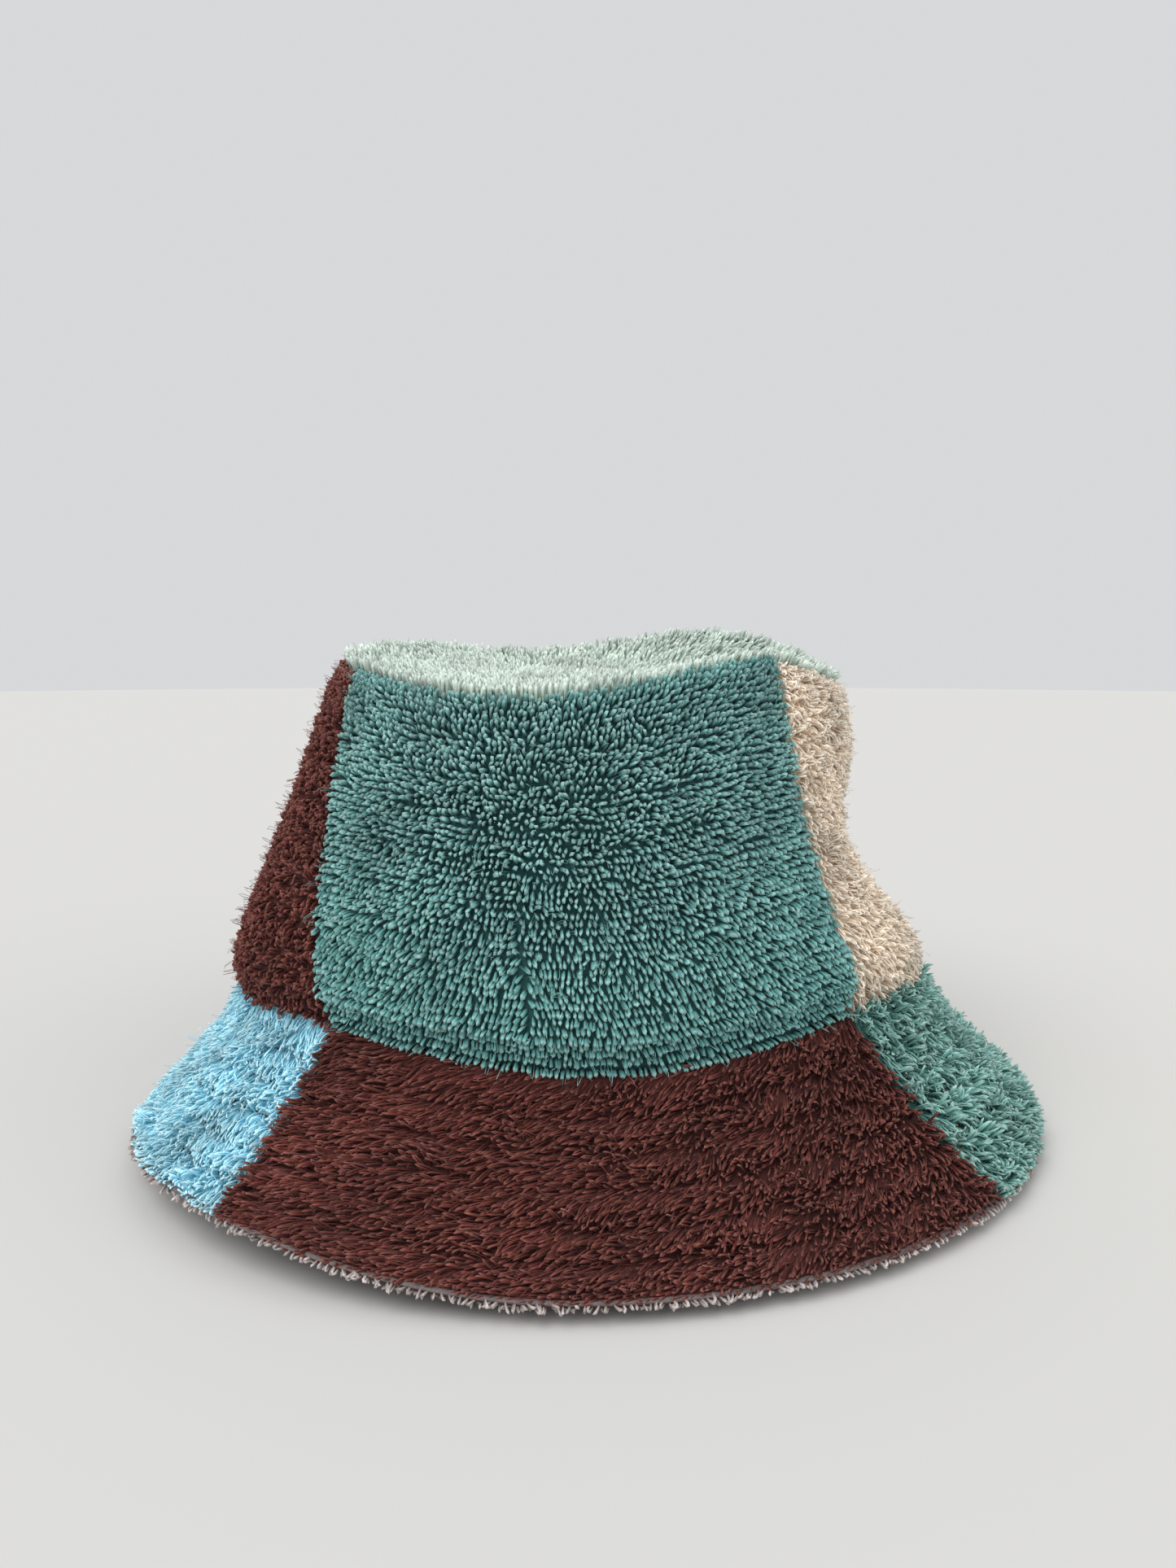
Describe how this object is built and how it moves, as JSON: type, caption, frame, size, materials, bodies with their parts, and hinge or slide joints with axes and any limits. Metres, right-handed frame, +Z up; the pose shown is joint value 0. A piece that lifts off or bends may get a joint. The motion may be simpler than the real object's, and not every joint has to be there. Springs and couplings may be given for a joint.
{
  "type": "bucket hat",
  "caption": "Soft patchwork bucket hat in terry cloth, lined, with a sagging round top, slightly tapered crown and a steep stitched brim.",
  "frame": {"origin": "middle of the brim's outline, on the surface that the brim edge stands on", "axes": "+Z up through the crown, -Y the front of the hat, +X its right side as seen from the front"},
  "size_m": [0.2507, 0.2756, 0.1372],
  "materials": {
    "teal_terry": "looped cotton terry pile, matte",
    "brown_terry": "looped cotton terry pile, matte",
    "mint_terry": "looped cotton terry pile, matte",
    "cream_terry": "looped cotton terry pile, matte",
    "light_blue_terry": "looped cotton terry pile, matte",
    "sea_green_terry": "looped cotton terry pile, matte",
    "lilac_grey_terry": "looped cotton terry pile, matte",
    "interlining": "plain woven cotton, matte",
    "undyed_thread": "twisted sewing thread, low sheen",
    "lilac_grey_thread": "twisted sewing thread, low sheen",
    "brown_thread": "twisted sewing thread, low sheen"
  },
  "bodies": {
    "root": {"crown_top": "mint_terry", "crown_side_front": "teal_terry", "crown_side_right": "cream_terry", "crown_side_back": "light_blue_terry", "crown_side_left": "brown_terry", "brim_front": "brown_terry", "brim_right": "sea_green_terry", "brim_back": "mint_terry", "brim_left": "light_blue_terry", "lining_top": "lilac_grey_terry", "lining_side_front": "lilac_grey_terry", "lining_side_right": "lilac_grey_terry", "lining_side_back": "lilac_grey_terry", "lining_side_left": "lilac_grey_terry", "brim_underside_front": "lilac_grey_terry", "brim_underside_right": "lilac_grey_terry", "brim_underside_back": "lilac_grey_terry", "brim_underside_left": "lilac_grey_terry", "brim_interlining_front": "interlining", "brim_interlining_right": "interlining", "brim_interlining_back": "interlining", "brim_interlining_left": "interlining", "crown_top_seam_thread": "undyed_thread", "crown_brim_seam_thread": "undyed_thread", "lining_top_seam_thread": "lilac_grey_thread", "lining_brim_seam_thread": "lilac_grey_thread", "brim_edge_seam_thread": "lilac_grey_thread", "crown_side_seam_thread_front_right": "undyed_thread", "brim_seam_thread_front_right": "undyed_thread", "lining_side_seam_thread_front_right": "lilac_grey_thread", "brim_underside_seam_thread_front_right": "lilac_grey_thread", "crown_side_seam_thread_back_right": "undyed_thread", "brim_seam_thread_back_right": "undyed_thread", "lining_side_seam_thread_back_right": "lilac_grey_thread", "brim_underside_seam_thread_back_right": "lilac_grey_thread", "crown_side_seam_thread_back_left": "undyed_thread", "brim_seam_thread_back_left": "undyed_thread", "lining_side_seam_thread_back_left": "lilac_grey_thread", "brim_underside_seam_thread_back_left": "lilac_grey_thread", "crown_side_seam_thread_front_left": "undyed_thread", "brim_seam_thread_front_left": "undyed_thread", "lining_side_seam_thread_front_left": "lilac_grey_thread", "brim_underside_seam_thread_front_left": "lilac_grey_thread", "brim_topstitch_row_1": "brown_thread", "brim_topstitch_row_2": "brown_thread", "brim_topstitch_row_3": "brown_thread", "brim_topstitch_row_4": "brown_thread", "brim_topstitch_row_5": "brown_thread"}
  },
  "joints": []
}
